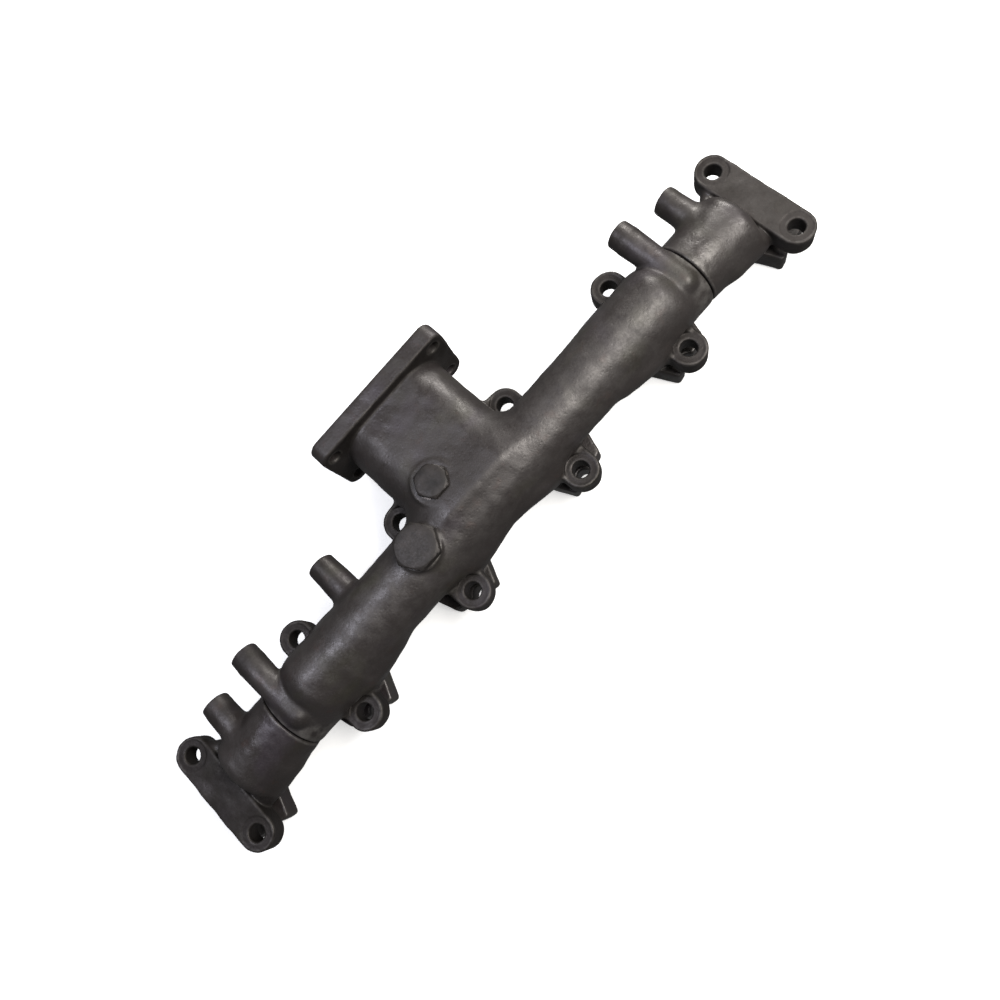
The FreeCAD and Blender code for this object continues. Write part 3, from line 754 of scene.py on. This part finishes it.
def cast_iron():
    """Oiled, sooted cast iron: blotchy brown grey, worn bright on edges, with painted shade in corners,
    behind the outlet flange and on the pegs, and painted light towards the +X end.
    """
    n = Nodes("cast_iron_skin")
    broad = n.range(n.noise(14, 3.0, 0.6), 0.35, 0.65)
    patches = n.range(n.noise(46, 4.0, 0.6, distortion=0.4), 0.42, 0.62)
    grain = n.noise(420, 3.0, 0.6)
    colour = n.mix(broad, IRON["dark"], IRON["light"])
    colour = n.tint(colour, patches, 0.35, IRON["patch"])
    violet = n.range(n.noise(22, 2.0, 0.5, stretch=(1.0, 1.3, 0.8)), 0.56, 0.70)
    colour = n.tint(colour, violet, 0.50, IRON["violet"])
    olive = n.range(n.noise(31, 2.0, 0.5, stretch=(0.8, 1.0, 1.4)), 0.57, 0.72)
    colour = n.tint(colour, olive, 0.55, IRON["olive"])
    rust = n.range(n.noise(60, 4.0, 0.65, stretch=(1.2, 0.9, 1.1)), 0.60, 0.74)
    colour = n.tint(colour, rust, 0.50, IRON["rust"])
    # painted light: the colour is lighter and warmer towards the +X end
    lit_end_tint = n.range(n.axis("X"), -0.15, 0.34)
    colour = n.tint(colour, lit_end_tint, 0.42, IRON["lit_end"])
    speckle = n.range(n.noise(900, 2.0, 0.5), 0.60, 0.75)
    colour = n.tint(colour, speckle, 0.25, IRON["speckle"])
    # soot on the bolt bars, and painted shade behind the outlet flange and on the pegs
    soot_and_shade = n.math("MULTIPLY", n.attribute("soot_and_shade"), n.range(n.noise(32, 3.0, 0.6), 0.30, 0.60, 1.0, 0.55))
    colour = n.tint(colour, soot_and_shade, 0.75, IRON["soot_and_shade"])
    # painted shade, darkening corners and creases
    crease_shade = n.range(n.attribute("crease_shade"), 0.15, 0.75)
    colour = n.tint(colour, crease_shade, 0.6, IRON["crease_shade"])
    edge = n.range(n.attribute("edge"), 0.20, 0.62)
    edge = n.math("MULTIPLY", edge, n.range(n.noise(120, 3.0, 0.6), 0.35, 0.65))
    colour = n.tint(colour, edge, 0.65, IRON["worn"])
    machined = n.attribute("machined")
    colour = n.tint(colour, machined, 0.45, IRON["machined"])
    rough = n.range(broad, 0, 1, 0.48, 0.36)
    rough = n.math("ADD", rough, n.range(grain, 0.3, 0.7, -0.06, 0.08))
    rough = n.math("ADD", rough, n.range(patches, 0, 1, 0.08, -0.04))
    rough = n.math("ADD", rough, n.range(soot_and_shade, 0, 1, 0.0, 0.16))
    n.shader.inputs["Specular IOR Level"].default_value = 0.75
    skin = n.bump(n.noise(70, 3.0, 0.5), 0.12, 0.0012)
    pits = n.bump(n.range(n.spots(260), 0.0, 0.35), 0.22, 0.0004, skin)
    normal = n.bump(grain, 0.40, 0.0004, pits)
    metal = n.math("ADD", n.range(machined, 0, 1, 0.35, 0.45), n.range(soot_and_shade, 0, 1, 0.0, 0.45))
    return n.finish(colour, rough, metal, normal)


def turned_metal(name, dark, light, roughness, metallic):
    """Machined metal: fine turning marks, dulled patches and stains."""
    n = Nodes(name)
    patches = n.range(n.noise(70, 4.0, 0.6), 0.35, 0.65)
    colour = n.mix(patches, dark, light)
    stain = n.range(n.noise(180, 3.0, 0.6, stretch=(1, 1, 2)), 0.56, 0.72)
    colour = n.tint(colour, stain, 0.5, tuple(0.5 * c for c in dark))
    lines = n.noise(500, 2.0, 0.5, stretch=(1, 1, 6))
    rough = n.range(lines, 0.3, 0.7, roughness - 0.06, roughness + 0.10)
    normal = n.bump(lines, 0.25, 0.0003)
    return n.finish(colour, rough, metallic, normal)


def floor_material():
    """A pale floor that gives off a little light, so that it's as white as the photograph's."""
    n = Nodes("pale_floor")
    colour = n.mix(n.noise(3, 2.0, 0.5), (0.86, 0.86, 0.86), (0.88, 0.88, 0.88))
    n.shader.inputs["Emission Color"].default_value = (1, 1, 1, 1)
    n.shader.inputs["Emission Strength"].default_value = 0.5
    return n.finish(colour, 0.9, 0.0)


# ---------------------------------------------------------------- plugs
def hexagon_plug(name, node, head_height):
    """A hexagon-headed plug with a chamfered top, a shank and softened corners."""
    low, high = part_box(node)
    centre = (low + high) / 2
    corner_r = (high.x - low.x) / 2
    flat_r = corner_r * math.cos(math.pi / 6)
    top, bottom = high.z, low.z
    head = top - head_height * MM
    mesh = bpy.data.meshes.new(name)
    build = bmesh.new()
    sectors = 96

    def hex_radius(angle):
        """Distance from the centre to the hexagon's side, its corners slightly rounded."""
        return min(flat_r / math.cos(angle % (math.pi / 3) - math.pi / 6), corner_r * 0.985)

    shank_r = PLUG_HOLE_R * 0.985 * MM
    crown = flat_r * 0.97
    # heights and radii, from the shank's tip up to the crown
    levels = [
        (bottom, lambda a: shank_r * 0.9), (bottom + 0.8 * MM, lambda a: shank_r),
        (head - 0.01 * MM, lambda a: shank_r), (head, lambda a: hex_radius(a) * 0.985),
        (head + 0.35 * MM, hex_radius),
        (top - 1.6 * MM, lambda a: min(hex_radius(a), flat_r * 1.13)),
        (top - 0.8 * MM, lambda a: min(hex_radius(a), flat_r * 1.05)),
        (top - 0.15 * MM, lambda a: crown), (top, lambda a: crown * 0.975),
        (top, lambda a: crown * 0.6),
    ]
    rings = []
    for z, radius in levels:
        ring = []
        for k in range(sectors):
            angle = 2 * math.pi * k / sectors
            ring.append(build.verts.new((centre.x + radius(angle) * math.cos(angle),
                                         centre.y + radius(angle) * math.sin(angle), z)))
        rings.append(ring)
    for lower, upper in zip(rings, rings[1:]):
        for k in range(sectors):
            following = (k + 1) % sectors
            build.faces.new((lower[k], lower[following], upper[following], upper[k]))
    build.faces.new(list(reversed(rings[0])))
    build.faces.new(rings[-1])
    build.normal_update()
    build.to_mesh(mesh)
    build.free()
    for face in mesh.polygons:
        face.use_smooth = True
    mesh.set_sharp_from_angle(angle=math.radians(28))
    plug = bpy.data.objects.new(name, mesh)
    bpy.context.scene.collection.objects.link(plug)
    return plug


# ---------------------------------------------------------------- the object
iron = cast_iron()
sleeve_steel = turned_metal("sleeve_steel", dark=(0.20, 0.20, 0.205), light=(0.34, 0.34, 0.345),
                            roughness=0.34, metallic=0.9)
ring_iron = turned_metal("ring_iron", dark=(0.13, 0.125, 0.125), light=(0.22, 0.215, 0.21),
                         roughness=0.42, metallic=0.8)
plug_steel = turned_metal("plug_steel", dark=(0.018, 0.016, 0.015), light=(0.036, 0.031, 0.029),
                          roughness=0.52, metallic=0.45)
washer_copper = turned_metal("washer_copper", dark=(0.10, 0.088, 0.08), light=(0.20, 0.18, 0.165),
                             roughness=0.36, metallic=0.7)

centre = make_piece("centre_casting", build_centre(), CENTRE_PORTS, seed=11)
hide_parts("centre_section")
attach(centre, "centre")
set_material(centre, iron)

for seed, (end, side) in zip((31, 38), SIDES.items()):
    piece = make_piece(f"{end}_end_casting", build_end(end), [side * END_PORT], seed)
    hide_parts(f"{end}_end_section")
    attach(piece, f"{end}_end")
    set_material(piece, iron)

for name, head_height in PLUG_HEADS.items():
    plug = hexagon_plug(f"{name}_hex_plug", f"{name}_port_plug", head_height)
    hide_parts(f"{name}_port_plug")
    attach(plug, "centre")
    set_material(plug, plug_steel)

for name, node in frame["nodes"].items():
    if "sleeve" in name:
        set_material(node, sleeve_steel)
    elif "ring" in name:
        set_material(node, ring_iron)
    elif "washer" in name:
        set_material(node, washer_copper)


# ---------------------------------------------------------------- floor, light and camera
def make_floor():
    """A large square just under the head face, hidden from reflections and bounced light."""
    mesh = bpy.data.meshes.new("floor")
    build = bmesh.new()
    reach = 3.0
    cells = 6
    height = -0.0005
    grid = [[build.verts.new((-reach + 2 * reach * i / cells, -reach + 2 * reach * j / cells, height))
             for j in range(cells + 1)] for i in range(cells + 1)]
    for i in range(cells):
        for j in range(cells):
            build.faces.new((grid[i][j], grid[i + 1][j], grid[i + 1][j + 1], grid[i][j + 1]))
    build.to_mesh(mesh)
    build.free()
    floor = bpy.data.objects.new("floor", mesh)
    bpy.context.scene.collection.objects.link(floor)
    set_material(floor, floor_material())
    floor.visible_diffuse = False
    floor.visible_glossy = False


def area_light(name, position, target, size, power, colour):
    lamp = bpy.data.lights.new(name, "AREA")
    lamp.shape = "RECTANGLE"
    lamp.size, lamp.size_y = size
    lamp.energy = power
    lamp.color = colour
    light = bpy.data.objects.new(name, lamp)
    light.location = position
    direction = Vector(target) - Vector(position)
    light.rotation_euler = direction.to_track_quat("-Z", "Y").to_euler()
    bpy.context.scene.collection.objects.link(light)


make_floor()
area_light("key", position=(0.50, -0.42, 0.92), target=(0.1, 0, 0.05), size=(0.7, 0.7),
           power=16, colour=(1.0, 0.97, 0.92))
area_light("window", position=(0.86, 0.48, 0.50), target=(0.05, 0.05, 0.08), size=(0.3, 0.3),
           power=6, colour=(1.0, 0.98, 0.94))
area_light("sky", position=(-0.38, 0.30, 1.12), target=(-0.12, 0, 0.08), size=(0.32, 0.42),
           power=6, colour=(0.86, 0.88, 1.0))
world = bpy.data.worlds.new("soft_white")
world.use_nodes = True
world.node_tree.nodes["Background"].inputs["Color"].default_value = (1, 1, 1, 1)
world.node_tree.nodes["Background"].inputs["Strength"].default_value = 0.15
bpy.context.scene.world = world
bpy.context.scene.view_settings.view_transform = "Standard"

CAMERA_AT = Vector((0.0036, -0.2022, 0.6758))
CAMERA_TILT = math.asin(0.294)
CAMERA_ROLL = math.radians(-48.32)
LENS = 29.1


def make_camera():
    """Looks down on the manifold, tilted towards the outlet and rolled so that it lies diagonally."""
    data = bpy.data.cameras.new("camera")
    data.lens = LENS
    data.sensor_width = 36
    data.clip_start = 0.01
    camera = bpy.data.objects.new("camera", data)
    back = Vector((0, -math.sin(CAMERA_TILT), math.cos(CAMERA_TILT)))
    right = Vector((1, 0, 0))
    up = back.cross(right)
    turn = Matrix((right, up, back)).transposed().to_4x4()
    roll = Matrix.Rotation(CAMERA_ROLL, 4, "Z")
    camera.matrix_world = Matrix.Translation(CAMERA_AT) @ turn @ roll
    bpy.context.scene.collection.objects.link(camera)
    bpy.context.scene.camera = camera


make_camera()
